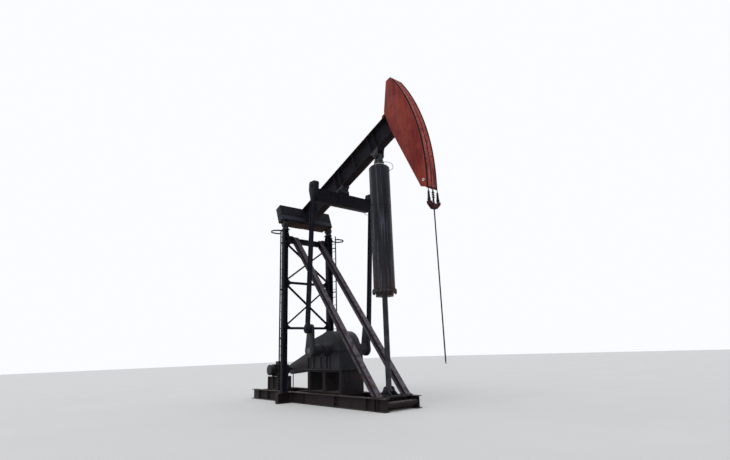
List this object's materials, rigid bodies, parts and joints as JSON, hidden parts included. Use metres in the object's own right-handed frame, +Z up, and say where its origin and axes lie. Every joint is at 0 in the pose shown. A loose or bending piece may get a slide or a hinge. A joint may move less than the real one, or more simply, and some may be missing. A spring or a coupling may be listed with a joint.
{
  "type": "air-balanced pumpjack",
  "caption": "Air-balanced oil well pumpjack: rear-pivoted walking beam with horsehead, air tank, equalizer and pitmans on a braced tower and skid.",
  "frame": {"origin": "on the ground plane under the tower, on the machine's centre plane, on the skid's underside", "axes": "+X towards the well, +Y to the left of the machine, +Z up; at rest the beam is at the top of its stroke"},
  "size_m": [9.6, 3.2406, 10.2651],
  "materials": {
    "black_paint": "weathered satin black paint",
    "tank_paint": "streaked black paint",
    "red_brown_paint": "faded red-brown paint",
    "carrier_paint": "worn dark red paint",
    "bright_steel": "oiled steel",
    "belt_rubber": "matt"
  },
  "bodies": {
    "frame": {"skid_rails": "black_paint", "skid_cross_members": "black_paint", "tower_post_left": "black_paint", "tower_post_right": "black_paint", "tower_cross_beam": "black_paint", "tower_horizontals": "black_paint", "tower_braces": "black_paint", "front_leg_left": "black_paint", "front_leg_right": "black_paint", "post_bearing_left": "black_paint", "post_bearing_right": "black_paint", "ladder_left": "black_paint", "ladder_right": "black_paint", "reducer_pedestal": "black_paint", "gear_reducer": "black_paint", "reducer_sheave": "black_paint", "drive_belts": "belt_rubber", "belt_guard": "black_paint", "motor": "black_paint", "motor_sheave": "black_paint", "motor_rails": "black_paint", "brake_drum": "black_paint", "piston_foot": "black_paint"},
    "beam": {"walking_beam": "black_paint", "cross_box": "black_paint", "saddle_shafts": "black_paint", "horsehead": "red_brown_paint", "horsehead_face": "red_brown_paint", "equalizer_bearing": "black_paint", "tank_bearing": "black_paint", "wireline_wrap": "bright_steel"},
    "equalizer": {"equalizer": "black_paint", "pitman_left": "black_paint", "pitman_right": "black_paint"},
    "cranks": {"crank_shaft": "bright_steel", "crank_left": "black_paint", "crank_right": "black_paint"},
    "tank": {"air_tank": "tank_paint", "tank_top": "tank_paint", "tank_bottom": "tank_paint"},
    "piston": {"piston_rod": "bright_steel"},
    "carrier": {"carrier_bar": "carrier_paint", "rod_clamp": "black_paint", "polished_rod": "bright_steel", "wireline_run": "bright_steel"}
  },
  "joints": [
    {"name": "beam_tilt", "type": "hinge", "parent": "frame", "child": "beam", "pos_m": [0, 0, 6.4], "axis": [0, 1, 0], "range_deg": [0, 31.8]},
    {"name": "equalizer_swing", "type": "hinge", "parent": "beam", "child": "equalizer", "pos_m": [2.3767, 0, 7.18185], "axis": [0, 1, 0], "range_deg": [-29.56, 0]},
    {"name": "crank_turn", "type": "hinge", "parent": "frame", "child": "cranks", "pos_m": [1.95, 0, 1.72], "axis": [0, 1, 0], "range_deg": [0, 182.26]},
    {"name": "tank_swing", "type": "hinge", "parent": "beam", "child": "tank", "pos_m": [4.35247, 0, 7.89387], "axis": [0, 1, 0], "range_deg": [-30.24, 0]},
    {"name": "piston_stroke", "type": "slide", "parent": "tank", "child": "piston", "axis": [0, 0, 1], "range_m": [0, 2.517]},
    {"name": "carrier_drop", "type": "slide", "parent": "frame", "child": "carrier", "axis": [0, 0, -1], "range_m": [0, 3.6585], "deforming": ["wireline_run", "polished_rod"]}
  ],
  "couplings": [
    {"joint": "equalizer_swing", "follows": "beam_tilt", "ratio": -0.92925},
    {"joint": "crank_turn", "follows": "beam_tilt", "ratio": 5.7311},
    {"joint": "tank_swing", "follows": "beam_tilt", "ratio": -0.95055},
    {"joint": "piston_stroke", "follows": "beam_tilt", "m_per_rad": 4.5331},
    {"joint": "carrier_drop", "follows": "beam_tilt", "m_per_rad": 6.59}
  ]
}
